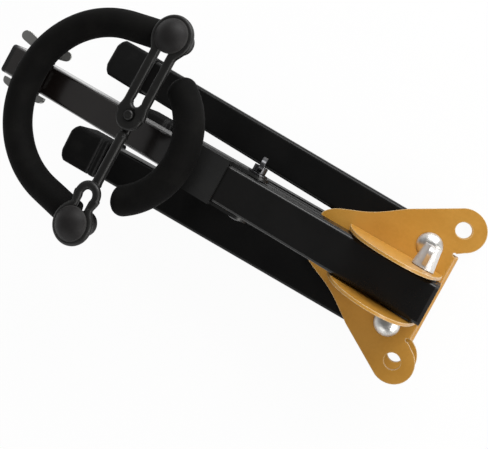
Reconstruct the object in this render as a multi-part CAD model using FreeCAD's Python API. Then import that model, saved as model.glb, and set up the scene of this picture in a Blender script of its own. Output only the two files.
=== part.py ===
import FreeCAD, Part
import math
import os

V = FreeCAD.Vector

# A folding saxophone stand, folded and lying on its back plate and feet, in millimetres.
# X runs along the post from the yoke end to the bracket, Y across it, Z up through the stack.
# X = 0 is the line through the two ear holes of the bracket, Y = 0 is the plane of symmetry.

# Driving sizes
sheet = 1.5                  # steel sheet of the bracket, cheeks, saddle and holder
leg_width = 20.0
leg_depth = 17.0
leg_wall = 1.2
leg_corner = 2.2
leg_reach = 209.0            # pivot to the tip of a side foot
rear_leg_reach = 190.0       # ear line to the tip of the rear foot
splay_deg = 1.9              # how far a folded side leg still points outwards
post_side = 20.0             # outer tube of the post, square
mast_side = 17.0             # inner tube of the post, square
tube_wall = 1.2
tube_corner = 2.0
mast_play = 0.3              # between the inner tube and the outer tube's wall
rod_radius = 3.0             # steel rod of both yokes
bolt_radius = 3.0
play = 0.06                  # radial clearance of a shaft in its hole
gap = 0.3                    # between pieces that pass each other
over = 1.0                   # how far a cutter runs past what it cuts

# Heights of the stack
plate_rest = 2.4             # back plate above the floor
washer_thick = 0.7
washer_play = 0.1            # beside each of a leg's two washers
plate_gap = leg_depth + 2 * (washer_thick + washer_play)
back_inner = plate_rest + sheet
front_inner = back_inner + plate_gap
plate_top = front_inner + sheet
leg_z = back_inner + plate_gap / 2
post_rise = 26.0             # post's centre line above the front plate
post_z = plate_top + post_rise

# Bracket
ear_y = 36.5
ear_radius = 10.9
ear_hole = 4.1
plate_reach = 65.0           # ear line to the tips of both plates
web_face = 4.0
web_half = 23.0
bend_outer = 2.5
bend_inner = bend_outer - sheet
relief_radius = 0.9
relief_inset = 1.2
notch_reach = 50.0           # ear line to the hollow between the plate's two tips
notch_rise_share = 0.16
edge_shares = [(0.965, 0.18), (1.0, 0.26), (0.97, 0.345), (0.90, 0.43), (0.81, 0.50), (0.72, 0.565),
               (0.62, 0.66), (0.525, 0.775), (0.43, 0.90)]
ear_tangent_deg = 113.0
ear_end_deg = -62.0
leg_pivot_x = -10.7
leg_gap = 1.8                # between the rear leg and a side leg at its pivot
leg_pivot_y = leg_width + leg_gap

# Cheek channel
cheek_inner = 10.9
cheek_outer = cheek_inner + sheet
cheek_foot = 48.5            # ear line to the cheek's low end
cheek_height = 56.5
cheek_end_x = 1.5
cheek_outline_shares = [(0, 0.10), (0.045, 0.35), (0.12, 0.60), (0.21, 0.79), (0.33, 0.92), (0.53, 1.0),
                        (0.72, 0.965), (0.84, 0.855), (0.94, 0.60), (0.988, 0.28), (1.0, 0)]
rivet_radius = 2.5
rivet_head = 4.6
rivet_head_rise = 1.6
rivet_spots_x = (-16.0, -40.0)

# Leg pivots and feet
leg_bolt_radius = 4.0
leg_bush_radius = 6.0
dome_radius = 6.6
dome_rise = 3.2
nut_rise = 2.0
washer_radius = 8.6
foot_length = 27.0
foot_width = 23.0
foot_depth = plate_top
foot_wall = 5.0
foot_corner = 4.5
foot_round = 1.2
foot_fit = 0.1

# Post
post_bolt_x = -8.5
post_end_x = 0.3
post_tip_x = -134.0
sleeve_radius = 4.6
spacer_radius = 8.0
post_head_radius = 5.6
post_head_rise = 3.2
plug_cap = 1.6
plug_corner = 1.5
collar_length = 3.0

# Clamp screw
clamp_x = -98.0
boss_radius = 4.4            # the saddle's left cheek turns on this
boss_rim = 5.2
boss_rim_thick = 0.8
clamp_hub = 3.6
clamp_hub_rise = 3.2
clamp_span = 18.0
clamp_lobe = 3.4
clamp_wing_rise = 8.0
clamp_turn_deg = 104.5
wing_thick = 2.2

# Wing nuts
nut_base = 5.4
nut_top = 4.0
nut_length = 11.0
nut_span = 20.0
nut_lobe = 3.0
yoke_nut_length = 6.0
yoke_nut_span = 30.0
yoke_nut_lobe = 3.0
yoke_wing_rise = 8.2
yoke_nut_turn_deg = 24.0
bolt_wing_rise = 4.0         # ears of the wing bolt's head
yoke_nut_base = 5.6
yoke_nut_top = 4.2

# Mast, the inner tube
mast_end_x = -253.0
mast_tail_x = -16.0
mast_plug_cap = 3.0
glide_length = 14.0
holder_x = -242.0

# The files place the middle of the whole length at X = 0
far_end_x = min(mast_end_x - mast_plug_cap, holder_x - yoke_nut_span / 2)
origin_shift = -(far_end_x + ear_radius) / 2

# Upper yoke
yoke_vertex_x = -229.5
yoke_radius = 48.0
yoke_foam = 7.6
yoke_flare_deg = 8.6
yoke_rise = 45.2             # rod's centre line above the front plate
yoke_z = plate_top + yoke_rise
ball_x = -160.5
ball_radius = 6.4
ball_neck = 5.2
ball_grip = 6.8              # where the foam ends before the ball's centre
ball_low = 6.4
ball_band = 3.6
ball_waist = 5.4
ball_head = 8.9
ball_head_rise = 4.6
holder_inner = mast_side / 2 + gap
holder_outer = holder_inner + sheet
holder_eye = 7.0
holder_web = (9.5, 14.5)     # start and end of the holder's web, from its bolt
holder_back_share = 0.45
lug_length = 6.0
lug_half_width = 5.0

# Lower yoke
saddle_play = 0.4            # between the saddle's cheeks and the post
saddle_inner = post_side / 2 + saddle_play
saddle_outer = saddle_inner + sheet
saddle_eye = 7.0
saddle_web = (12.0, 42.0)    # start and end of the saddle's web, from its pivot
saddle_drop = 4.0
boss_rise = saddle_outer - post_side / 2 + gap + boss_rim_thick
rivet_top = 4.6
rivet_top_rise = 1.3
rest_vertex_x = -130.0
rest_radius = 37.0
rest_sweep_deg = 60.0
rest_foam = 7.7
rest_rise = 46.2             # rod's centre line above the front plate
rest_z = plate_top + rest_rise
rest_cap = 3.0
foam_bore = rod_radius + 0.15

# Strap
strap_x = ball_x
strap_thick = 3.4
strap_lift = 0.15            # above the foam, and below the ball's head
strap_z = yoke_z + yoke_foam + strap_lift
ball_head_base = yoke_foam + strap_thick + 2 * strap_lift
ring_radius = 11.0           # round either ball
ring_hole = ball_neck + gap
link_half_width = 7.5
eye_radius = 7.5
eye_y = 8.3
eye_hole = 2.2
slot_radius = 2.4
slot_low_y = 15.5            # from here the slot runs into the ring's hole
button_foot = 4.2
button_stem = 1.9
button_head = 2.7
button_rise = 1.4
strap_rod_radius = 2.6
strap_rod_low = 3.0
strap_rod_thick = 4.2
loop_y = -35.8               # middle of the small loop beyond the right ball
loop_radius = 7.2
loop_hole = 2.7


def block(x0, x1, y0, y1, z0, z1):
    """A box between two corners."""
    return Part.makeBox(x1 - x0, y1 - y0, z1 - z0, V(x0, y0, z0))


def round_along(shape, radius, axis, keep=None):
    """Rounds the straight edges that run along an axis, all of them or those that keep() accepts."""
    edges = []
    for edge in shape.Edges:
        run = edge.tangentAt(edge.FirstParameter)
        if abs(abs(run.dot(axis)) - 1) < 1e-6 and (keep is None or keep(edge.CenterOfMass)):
            edges.append(edge)
    return shape.makeFillet(radius, edges)


def bar(x0, x1, width, depth, centre_z, corner):
    """A solid bar along X with round corners, centred on Y = 0."""
    body = block(x0, x1, -width / 2, width / 2, centre_z - depth / 2, centre_z + depth / 2)
    return round_along(body, corner, V(1, 0, 0))


def tube(x0, x1, width, depth, wall, centre_z, corner):
    """A rectangular tube along X, open at both ends."""
    core = bar(x0 - over, x1 + over, width - 2 * wall, depth - 2 * wall, centre_z, corner - wall)
    return bar(x0, x1, width, depth, centre_z, corner).cut(core)


def set_on(shape, base, axis):
    """Turns a shape made along +Z to point along axis, and moves it to base."""
    shape = shape.copy()
    shape.Placement = FreeCAD.Placement(base, FreeCAD.Rotation(V(0, 0, 1), axis))
    return shape


def pin(base, axis, radius, length):
    return Part.makeCylinder(radius, length, base, axis)


def cap_arc(radius, low, rise):
    """The arc of a round cap whose ball is centred on the Z axis, from its rim to its crown."""
    ball = (radius * radius + rise * rise) / (2 * abs(rise))
    half = math.asin(min(1.0, radius / ball)) / 2
    if abs(rise) > radius:
        half = (math.pi - 2 * half) / 2
    level = abs(rise) - ball * (1 - math.cos(half))
    middle = V(ball * math.sin(half), 0, low + math.copysign(level, rise))
    return Part.Arc(V(radius, 0, low), middle, V(0, 0, low + rise)).toShape()


def dome(base, axis, radius, rise):
    """A low domed head that stands on base."""
    foot = Part.makeLine(V(0, 0, 0), V(radius, 0, 0))
    back = Part.makeLine(V(0, 0, rise), V(0, 0, 0))
    face = Part.Face(Part.Wire([foot, cap_arc(radius, 0, rise), back]))
    return set_on(face.revolve(V(0, 0, 0), V(0, 0, 1), 360), base, axis)


def cone(base, axis, low, high, length):
    return Part.makeCone(low, high, length, base, axis)


def link_face(first, first_radius, second, second_radius):
    """The flat shape of a belt round two circles, in the XY plane."""
    run = second - first
    lean = math.acos((first_radius - second_radius) / run.Length)
    heading = math.atan2(run.y, run.x)

    def rim(centre, radius, angle):
        return centre + V(radius * math.cos(angle), radius * math.sin(angle), 0)

    left_a, left_b = (rim(c, r, heading + lean) for c, r in ((first, first_radius), (second, second_radius)))
    right_a, right_b = (rim(c, r, heading - lean) for c, r in ((first, first_radius), (second, second_radius)))
    tail = Part.Arc(left_a, rim(first, first_radius, heading + math.pi), right_a).toShape()
    nose = Part.Arc(right_b, rim(second, second_radius, heading), left_b).toShape()
    return Part.Face(Part.Wire([tail, Part.makeLine(right_a, right_b), nose, Part.makeLine(left_b, left_a)]))


def link(first, first_radius, second, second_radius, low, thick):
    """A flat link round two circles, lying between two heights."""
    return link_face(first, first_radius, second, second_radius).extrude(V(0, 0, thick)).translated(V(0, 0, low))


def upright(face, y):
    """Turns a face drawn in XY into the XZ plane at y."""
    face = face.copy()
    face.Placement = FreeCAD.Placement(V(0, y, 0), FreeCAD.Rotation(V(1, 0, 0), 90))
    return face


def both_sides(shape):
    """The shape and its mirror image across the plane of symmetry."""
    return Part.makeCompound([shape, shape.mirror(V(0, 0, 0), V(0, 1, 0))])


def pipe(path, start, heading, radius):
    """A round bar along a smooth path."""
    ring = Part.Wire(Part.makeCircle(radius, start, heading))
    return path.makePipeShell([ring], True, False)


def save(name, shape):
    """Writes one piece, as its separate solids."""
    solids = shape.Solids
    whole = solids[0] if len(solids) == 1 else Part.makeCompound(solids)
    whole = whole.translated(V(origin_shift, 0, 0))
    whole.exportStep("parts/" + name + ".step")
    print(name, len(solids), round(whole.Volume))


def plate(low):
    """One plate of the bracket, from its two tips to the bend at the web."""
    bend_x = web_face - bend_outer
    tips = [V(-plate_reach * along, ear_y * across, 0) for along, across in edge_shares]
    ear = V(0, ear_y, 0)

    def on_ear(angle_deg):
        angle = math.radians(angle_deg)
        return ear + V(ear_radius * math.cos(angle), ear_radius * math.sin(angle), 0)

    side = Part.BSplineCurve()
    side.interpolate(tips)
    notch = Part.Arc(V(-notch_reach, 0, 0), V(-notch_reach - over, ear_y * notch_rise_share / 2, 0), tips[0])
    ear_start, ear_end = on_ear(ear_tangent_deg), on_ear(ear_end_deg)
    shoulder = V(bend_x, web_half + relief_inset, 0)
    corner = V(bend_x, web_half, 0)
    edges = [notch.toShape(), side.toShape(), Part.makeLine(tips[-1], ear_start),
             Part.Arc(ear_start, on_ear((ear_tangent_deg + ear_end_deg) / 2), ear_end).toShape(),
             Part.makeLine(ear_end, shoulder), Part.makeLine(shoulder, corner),
             Part.makeLine(corner, V(bend_x, 0, 0)), Part.makeLine(V(bend_x, 0, 0), V(-notch_reach, 0, 0))]
    half = Part.Face(Part.Wire(edges)).extrude(V(0, 0, sheet)).translated(V(0, 0, low))
    return half.fuse(half.mirror(V(0, 0, 0), V(0, 1, 0))).removeSplitter()


def make_bracket():
    bend_x = web_face - bend_outer
    outer = block(bend_x - bend_outer, web_face, -web_half, web_half, plate_rest, plate_top)
    outer = round_along(outer, bend_outer, V(0, 1, 0), lambda p: p.x > bend_x)
    inner = block(bend_x - bend_outer, web_face - sheet, -web_half, web_half, back_inner, front_inner)
    inner = round_along(inner, bend_inner, V(0, 1, 0), lambda p: p.x > bend_x)
    flat = block(bend_x - bend_outer, bend_x, -web_half, web_half, plate_rest, plate_top)
    shape = plate(plate_rest).fuse([plate(front_inner), outer.cut([inner, flat])]).removeSplitter()
    relief = pin(V(bend_x, web_half + relief_radius, 0), V(0, 0, 1), relief_radius, plate_top + over)
    eye = pin(V(0, ear_y, 0), V(0, 0, 1), ear_hole, plate_top + over)
    pivot = pin(V(leg_pivot_x, leg_pivot_y, 0), V(0, 0, 1), leg_bolt_radius, plate_top + over)
    holes = [pin(V(x, 0, 0), V(0, 0, 1), rivet_radius, plate_top + over) for x in rivet_spots_x]
    for cutter in (relief, eye, pivot):
        holes += [cutter, cutter.mirror(V(0, 0, 0), V(0, 1, 0))]
    return shape.cut(holes)


def make_cheek_channel():
    top = plate_top + cheek_height
    outer = block(-cheek_foot, cheek_end_x, -cheek_outer, cheek_outer, plate_top, top + over)
    outer = round_along(outer, bend_outer, V(1, 0, 0), lambda p: p.z < plate_top + over)
    inner = block(-cheek_foot - over, cheek_end_x + over, -cheek_inner, cheek_inner,
                  plate_top + sheet, top + 2 * over)
    inner = round_along(inner, bend_inner, V(1, 0, 0), lambda p: p.z < plate_top + 2 * sheet)
    length = cheek_foot + cheek_end_x
    rim = Part.BSplineCurve()
    rim.interpolate([V(-cheek_foot + length * along, 0, plate_top + cheek_height * up)
                     for along, up in cheek_outline_shares])
    corner = V(-cheek_foot, 0, plate_top)
    edges = [rim.toShape(), Part.makeLine(V(cheek_end_x, 0, plate_top), corner),
             Part.makeLine(corner, rim.StartPoint)]
    outline = Part.Face(Part.Wire(edges)).extrude(V(0, 2 * (cheek_outer + over), 0))
    outline = outline.translated(V(0, -cheek_outer - over, 0))
    shape = outer.cut(inner).common(outline)
    bolt = pin(V(post_bolt_x, -cheek_outer - over, post_z), V(0, 1, 0), bolt_radius + play,
               2 * (cheek_outer + over))
    holes = [pin(V(x, 0, 0), V(0, 0, 1), rivet_radius, plate_top + 2 * sheet) for x in rivet_spots_x]
    return shape.cut([bolt] + holes)


def make_rivets():
    """Two rivets that hold the cheek channel, the plates and the rear leg together."""
    low = plate_rest - rivet_head_rise
    high = plate_top + sheet
    rivets = []
    for x in rivet_spots_x:
        shank = pin(V(x, 0, plate_rest), V(0, 0, 1), rivet_radius, high - plate_rest)
        head = dome(V(x, 0, high), V(0, 0, 1), rivet_head, rivet_head_rise)
        tail = dome(V(x, 0, plate_rest), V(0, 0, -1), rivet_head, plate_rest - low)
        rivets.append(shank.fuse([head, tail]))
    return Part.makeCompound(rivets)


def foot(tip_x, centre_y=0):
    """A rubber foot with a closed toe, over the end of a leg that runs along X."""
    half = foot_width / 2
    body = block(tip_x, tip_x + foot_length, -half, half, 0, foot_depth)
    body = round_along(body, foot_corner, V(0, 0, 1), lambda p: p.x < tip_x + over)
    rims = [e for e in body.Edges if e.CenterOfMass.z > foot_depth - 1e-6 or e.CenterOfMass.z < 1e-6]
    body = body.makeFillet(foot_round, [e for e in rims if e.CenterOfMass.x < tip_x + foot_length - over])
    fit = 2 * foot_fit
    hollow = bar(tip_x + foot_wall, tip_x + foot_length + over, leg_width + fit, leg_depth + fit, leg_z, leg_corner)
    return body.cut(hollow).translated(V(0, centre_y, 0))


def swing(shape, side):
    """Turns a side leg's piece about its pivot to where it lies folded; side is 1 on +Y and -1 on -Y."""
    shape = shape.translated(V(0, side * leg_pivot_y, 0))
    shape.rotate(V(leg_pivot_x, side * leg_pivot_y, 0), V(0, 0, 1), -side * splay_deg)
    return shape


def make_side_leg(side):
    """A side leg with a round end about its pivot."""
    tip = leg_pivot_x - leg_reach
    body = tube(tip + foot_wall + foot_fit, leg_pivot_x + leg_width / 2, leg_width, leg_depth, leg_wall, leg_z,
                leg_corner)
    low = leg_z - leg_depth / 2 - over
    tall = leg_depth + 2 * over
    rounding = pin(V(leg_pivot_x, 0, low), V(0, 0, 1), leg_width / 2, tall)
    straight = block(tip, leg_pivot_x, -leg_width, leg_width, low, low + tall)
    body = body.common(rounding.fuse(straight))
    return swing(body.cut(pin(V(leg_pivot_x, 0, low), V(0, 0, 1), leg_bush_radius, tall)), side)


def make_side_foot(side):
    return swing(foot(leg_pivot_x - leg_reach), side)


def make_leg_bush(side):
    base = V(leg_pivot_x, 0, leg_z - leg_depth / 2)
    bush = pin(base, V(0, 0, 1), leg_bush_radius, leg_depth)
    return swing(bush.cut(pin(base, V(0, 0, 1), leg_bolt_radius + play, leg_depth)), side)


def make_leg_washers(side):
    """Two thin washers, one each side of the leg."""
    washers = []
    for low in (back_inner, leg_z + leg_depth / 2):
        base = V(leg_pivot_x, 0, low)
        ring = pin(base, V(0, 0, 1), washer_radius, washer_thick)
        washers.append(ring.cut(pin(base, V(0, 0, 1), leg_bolt_radius + play, washer_thick)))
    return swing(Part.makeCompound(washers), side)


def make_leg_bolts():
    base = V(leg_pivot_x, leg_pivot_y, plate_rest)
    shank = pin(base, V(0, 0, 1), leg_bolt_radius, plate_top - plate_rest)
    head = dome(V(leg_pivot_x, leg_pivot_y, plate_top), V(0, 0, 1), dome_radius, dome_rise)
    return both_sides(shank.fuse(head))


def make_leg_nuts():
    base = V(leg_pivot_x, leg_pivot_y, plate_rest)
    return both_sides(dome(base, V(0, 0, -1), dome_radius, nut_rise))


def make_rear_leg():
    body = tube(-rear_leg_reach + foot_wall + foot_fit, web_face - sheet - gap, leg_width, leg_depth, leg_wall,
                leg_z, leg_corner)
    return body.cut([pin(V(x, 0, 0), V(0, 0, 1), rivet_radius, plate_top) for x in rivet_spots_x])


def across(x, z, radius, half):
    """A round bar along Y, as long each side of the plane of symmetry."""
    return pin(V(x, -half, z), V(0, 1, 0), radius, 2 * half)


def make_post_bolt():
    """Bolt across the cheeks, with a domed head on the right and a thread end inside the wing nut."""
    start = -cheek_outer
    shank = pin(V(post_bolt_x, start, post_z), V(0, 1, 0), bolt_radius, cheek_outer - start + nut_length - over)
    return shank.fuse(dome(V(post_bolt_x, start, post_z), V(0, -1, 0), post_head_radius, post_head_rise))


def wing(span, lobe, rise, base, thick):
    """Two ears that lean out from a hub whose axis is +Z, in the XZ plane."""
    ears = []
    for side in (1, -1):
        root = V(side * base / 2, base / 2, 0)
        tip = V(side * (span / 2 - lobe), rise - lobe, 0)
        face = link_face(root, base / 2, tip, lobe) if base / 2 >= lobe else link_face(tip, lobe, root, base / 2)
        ears.append(upright(face, thick / 2).extrude(V(0, -thick, 0)))
    return ears[0].fuse(ears[1])


def wing_nut(length, base, top, span, lobe, rise):
    """A wing nut along +Z with its thread hole, its ears in the XZ plane."""
    hub = cone(V(0, 0, 0), V(0, 0, 1), base, top, length)
    ears = wing(span, lobe, rise, base, wing_thick)
    hole = pin(V(0, 0, 0), V(0, 0, 1), bolt_radius + play, length)
    below = pin(V(0, 0, 0), V(0, 0, -1), span, base)
    return hub.fuse(ears).cut([hole, below])


def stand_across(shape, x, y, z, facing, turn_deg=0.0):
    """Lays a piece made along +Z so that it points along +Y or -Y; turn_deg spins it on its own axis."""
    shape = shape.copy()
    spin = FreeCAD.Rotation(V(0, 0, 1), turn_deg)
    lay = FreeCAD.Rotation(V(1, 0, 0), -90 * facing)
    shape.Placement = FreeCAD.Placement(V(x, y, z), lay.multiply(spin))
    return shape


def make_post_wing_nut():
    nut = wing_nut(nut_length, nut_base, nut_top, nut_span, nut_lobe, nut_length)
    return stand_across(nut, post_bolt_x, cheek_outer + gap, post_z, 1, 90)


def make_outer_tube():
    body = tube(post_tip_x, post_end_x, post_side, post_side, tube_wall, post_z, tube_corner)
    half = post_side
    clamp_hole = pin(V(clamp_x, 0, post_z), V(0, 1, 0), bolt_radius + play, half)
    rivet_hole = pin(V(clamp_x, 0, post_z), V(0, -1, 0), bolt_radius, half)
    return body.cut([across(post_bolt_x, post_z, sleeve_radius, half), clamp_hole, rivet_hole])


def make_post_sleeve():
    half = post_side / 2
    return across(post_bolt_x, post_z, sleeve_radius, half).cut(
        across(post_bolt_x, post_z, bolt_radius + play, half))


def make_post_spacers():
    """Two washers between the post and the cheeks."""
    thick = cheek_inner - post_side / 2 - gap / 2
    base = V(post_bolt_x, post_side / 2, post_z)
    ring = pin(base, V(0, 1, 0), spacer_radius, thick).cut(
        pin(base, V(0, 1, 0), bolt_radius + play, thick))
    return both_sides(ring)


def make_post_plug():
    """Plastic plug in the open end of the outer tube, short of its bolt sleeve."""
    inside = post_side - 2 * tube_wall
    insert = post_end_x - post_bolt_x - sleeve_radius - over
    cap = bar(post_end_x, post_end_x + plug_cap, post_side, post_side, post_z, tube_corner)
    stem = bar(post_end_x - insert, post_end_x, inside, inside, post_z, tube_corner - tube_wall)
    return cap.fuse(stem)


def make_slide_collar():
    """Plastic ring on the mouth of the outer tube, round the inner tube."""
    outer = bar(post_tip_x - collar_length, post_tip_x, post_side, post_side, post_z, tube_corner)
    hole = mast_side + mast_play
    return outer.cut(bar(post_tip_x - collar_length - over, post_tip_x + over, hole, hole, post_z, tube_corner))


def make_clamp_boss():
    """Boss on the left wall of the outer tube: the saddle turns on it and the clamp screw runs through it."""
    base = V(clamp_x, post_side / 2, post_z)
    rim = pin(base + V(0, boss_rise - boss_rim_thick, 0), V(0, 1, 0), boss_rim, boss_rim_thick)
    return pin(base, V(0, 1, 0), boss_radius, boss_rise).fuse(rim).cut(
        pin(base, V(0, 1, 0), bolt_radius + play, boss_rise))


def make_clamp_screw():
    tip_y = mast_side / 2 + mast_play
    top_y = post_side / 2 + boss_rise + gap
    shank = pin(V(clamp_x, tip_y, post_z), V(0, 1, 0), bolt_radius, top_y - tip_y)
    hub = pin(V(0, 0, 0), V(0, 0, 1), clamp_hub, clamp_hub_rise)
    ears = wing(clamp_span, clamp_lobe, clamp_wing_rise, clamp_hub, wing_thick)
    ears = ears.cut(pin(V(0, 0, 0), V(0, 0, -1), clamp_span, clamp_hub))
    head = stand_across(hub.fuse(ears), clamp_x, top_y, post_z, 1, clamp_turn_deg)
    return shank.fuse(head)


def make_saddle_rivet():
    """Short rivet in the right wall of the outer tube, flush inside, that the saddle's right cheek turns on."""
    start = mast_side / 2 + mast_play
    end = saddle_outer + gap / 2
    shank = pin(V(clamp_x, -start, post_z), V(0, -1, 0), bolt_radius, end - start)
    return shank.fuse(dome(V(clamp_x, -end, post_z), V(0, -1, 0), rivet_top, rivet_top_rise))


def make_inner_tube():
    body = tube(mast_end_x, mast_tail_x, mast_side, mast_side, tube_wall, post_z, tube_corner)
    return body.cut(across(holder_x, post_z, sleeve_radius, mast_side))


def make_mast_plug():
    inside = mast_side - 2 * tube_wall
    cap = bar(mast_end_x - mast_plug_cap, mast_end_x, mast_side, mast_side, post_z, tube_corner)
    cap = cap.makeFillet(plug_corner / 2, [e for e in cap.Edges if e.CenterOfMass.x < mast_end_x - mast_plug_cap
                                           + 1e-6])
    stem_end = holder_x - sleeve_radius - over
    stem = bar(mast_end_x, stem_end, inside, inside, post_z, tube_corner - tube_wall)
    return cap.fuse(stem)


def make_tail_glide():
    """Nylon glide in the tail of the inner tube."""
    inside = mast_side - 2 * tube_wall
    cap = bar(mast_tail_x, mast_tail_x + plug_cap, mast_side, mast_side, post_z, tube_corner)
    stem = bar(mast_tail_x - glide_length, mast_tail_x, inside, inside, post_z, tube_corner - tube_wall)
    return cap.fuse(stem)


def make_mast_sleeve():
    half = mast_side / 2
    return across(holder_x, post_z, sleeve_radius, half).cut(across(holder_x, post_z, bolt_radius + play, half))


def cradle(x, low, rod_z):
    """A lug on a web at height low that the yoke's rod lies in."""
    body = block(x - lug_length / 2, x + lug_length / 2, -lug_half_width, lug_half_width, low, rod_z)
    return body


def make_holder():
    """Folded holder: two cheeks on the wing bolt, a web over the inner tube and a lug for the rod."""
    web_low = post_z + mast_side / 2 + gap
    web_high = web_low + sheet
    start, end = (holder_x + reach for reach in holder_web)
    eye = V(holder_x, 0, 0)
    nose_drop = holder_eye * holder_back_share
    face = link_face(V(holder_x, post_z, 0), holder_eye,
                     V(end - nose_drop, web_high - nose_drop, 0), nose_drop)
    cheek = upright(face, holder_outer).extrude(V(0, -sheet, 0))
    box = block(eye.x - 2 * holder_eye, end, -holder_outer, holder_outer, 0, web_high)
    cheeks = both_sides(cheek).common(box)
    web = block(start, end, -holder_outer, holder_outer, web_low, web_high)
    lug = cradle(yoke_vertex_x, web_high - sheet / 2, yoke_z)
    shape = web.fuse([*cheeks.Solids, lug]).removeSplitter()
    path, at, heading = upper_path(0.0)
    seat = pipe(path, at, heading, rod_radius)
    return shape.cut([across(holder_x, post_z, bolt_radius + play, holder_outer), seat])


def upper_path(trim):
    """Centre line of the upper yoke: an open horseshoe whose arms flare out to the balls."""
    flare = math.radians(yoke_flare_deg)
    centre = V(yoke_vertex_x + yoke_radius, 0, yoke_z)
    turn_x = centre.x - yoke_radius * math.sin(flare)
    turn_y = yoke_radius * math.cos(flare)
    arm = (ball_x - turn_x) / math.cos(flare) - trim
    tip = V(turn_x + arm * math.cos(flare), turn_y + arm * math.sin(flare), yoke_z)
    turn = V(turn_x, turn_y, yoke_z)
    low_turn = V(turn_x, -turn_y, yoke_z)
    low_tip = V(tip.x, -tip.y, yoke_z)
    bow = Part.Arc(turn, V(yoke_vertex_x, 0, yoke_z), low_turn).toShape()
    path = Part.Wire([Part.makeLine(tip, turn), bow, Part.makeLine(low_turn, low_tip)])
    return path, tip, turn - tip


def ball_centre():
    path, tip, heading = upper_path(0.0)
    return tip


def make_upper_rod():
    path, at, heading = upper_path(ball_neck / 2)
    return pipe(path, at, heading, rod_radius)


def make_upper_foam():
    path, at, heading = upper_path(ball_grip)
    foam = pipe(path, at, heading, yoke_foam).cut(pipe(path, at, heading, foam_bore))
    slit = block(yoke_vertex_x - lug_length / 2 - gap, yoke_vertex_x + lug_length / 2 + gap,
                 -lug_half_width - gap, lug_half_width + gap, yoke_z - 2 * yoke_foam, yoke_z)
    return foam.cut(slit)


def make_balls(side):
    """A round-headed knob on the end of an arm, with a neck for the strap's ring."""
    belly = cap_arc(ball_radius, -ball_band, -ball_low + ball_band)
    rim = V(ball_radius, 0, -ball_band)
    shoulder = V(ball_radius, 0, ball_band)
    neck_low = V(ball_neck, 0, ball_waist)
    neck_high = V(ball_neck, 0, ball_head_base)
    brim = V(ball_head, 0, ball_head_base)
    top = V(0, 0, ball_head_base + ball_head_rise)
    edges = [belly, Part.makeLine(rim, shoulder), Part.makeLine(shoulder, neck_low),
             Part.makeLine(neck_low, neck_high), Part.makeLine(neck_high, brim),
             cap_arc(ball_head, ball_head_base, ball_head_rise), Part.makeLine(top, V(0, 0, -ball_low))]
    knob = Part.Face(Part.Wire(edges)).revolve(V(0, 0, 0), V(0, 0, 1), 360)
    centre = ball_centre()
    knob = knob.translated(V(centre.x, side * centre.y, centre.z))
    path, at, heading = upper_path(ball_neck / 2)
    return knob.cut(pipe(path, at, heading, rod_radius))


def make_wing_bolt():
    """Wing bolt through the inner tube, its winged head on the right."""
    start = -holder_outer - gap
    length = holder_outer - start + yoke_nut_length
    shank = pin(V(holder_x, start, post_z), V(0, 1, 0), bolt_radius, length)
    hub = cone(V(0, 0, 0), V(0, 0, 1), yoke_nut_base, yoke_nut_top, yoke_nut_length)
    ears = wing(yoke_nut_span, yoke_nut_lobe, bolt_wing_rise, yoke_nut_base, wing_thick)
    ears = ears.cut(pin(V(0, 0, 0), V(0, 0, -1), yoke_nut_span, yoke_nut_base))
    head = stand_across(hub.fuse(ears), holder_x, start, post_z, -1)
    return shank.fuse(head)


def make_yoke_wing_nut():
    nut = wing_nut(yoke_nut_length, yoke_nut_base, yoke_nut_top, yoke_nut_span, yoke_nut_lobe, yoke_wing_rise)
    return stand_across(nut, holder_x, holder_outer + gap, post_z, 1, yoke_nut_turn_deg)


def lower_path():
    """Centre line of the lower yoke, a shallow bow that opens away from the bracket."""
    sweep = math.radians(rest_sweep_deg)
    centre_x = rest_vertex_x - rest_radius
    tip = V(centre_x + rest_radius * math.cos(sweep), rest_radius * math.sin(sweep), rest_z)
    bow = Part.Arc(tip, V(rest_vertex_x, 0, rest_z), V(tip.x, -tip.y, rest_z)).toShape()
    return Part.Wire([bow]), tip, V(math.sin(sweep), -math.cos(sweep), 0)


def make_saddle():
    """Folded saddle: cheeks on the clamp boss and the rivet, a web over the outer tube, a lug for the rod."""
    web_low = post_z + post_side / 2 + gap
    web_high = web_low + sheet
    start, end = (clamp_x - reach for reach in saddle_web)
    low = post_z - saddle_drop
    web = block(end, start, -saddle_outer, saddle_outer, web_low, web_high)
    eye = pin(V(clamp_x, saddle_inner, post_z), V(0, 1, 0), saddle_eye, sheet)
    strip = block(end, clamp_x, saddle_inner, saddle_outer, low, post_z + saddle_eye)
    wall = block(end, start, saddle_inner, saddle_outer, low, web_high)
    lug = cradle(rest_vertex_x, web_high - sheet / 2, rest_z)
    pieces = both_sides(eye.fuse([strip, wall]))
    shape = web.fuse([*pieces.Solids, lug]).removeSplitter()
    path, at, heading = lower_path()
    seat = pipe(path, at, heading, rod_radius)
    holes = [pin(V(clamp_x, 0, post_z), V(0, 1, 0), boss_radius + play, saddle_outer),
             pin(V(clamp_x, 0, post_z), V(0, -1, 0), bolt_radius + play, saddle_outer)]
    return shape.cut([*holes, seat])


def make_lower_rod():
    path, at, heading = lower_path()
    return pipe(path, at, heading, rod_radius)


def make_lower_foam():
    path, at, heading = lower_path()
    foam = pipe(path, at, heading, rest_foam).cut(pipe(path, at, heading, foam_bore))
    slit = block(rest_vertex_x - lug_length / 2 - gap, rest_vertex_x + lug_length / 2 + gap,
                 -lug_half_width - gap, lug_half_width + gap, rest_z - 2 * rest_foam, rest_z)
    return foam.cut(slit)


def make_lower_caps():
    """Two domed caps on the ends of the lower yoke."""
    path, at, heading = lower_path()
    return both_sides(dome(at, heading.negative(), rest_foam, rest_cap))


def strap_spot(y):
    return V(strap_x, y, 0)


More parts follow.
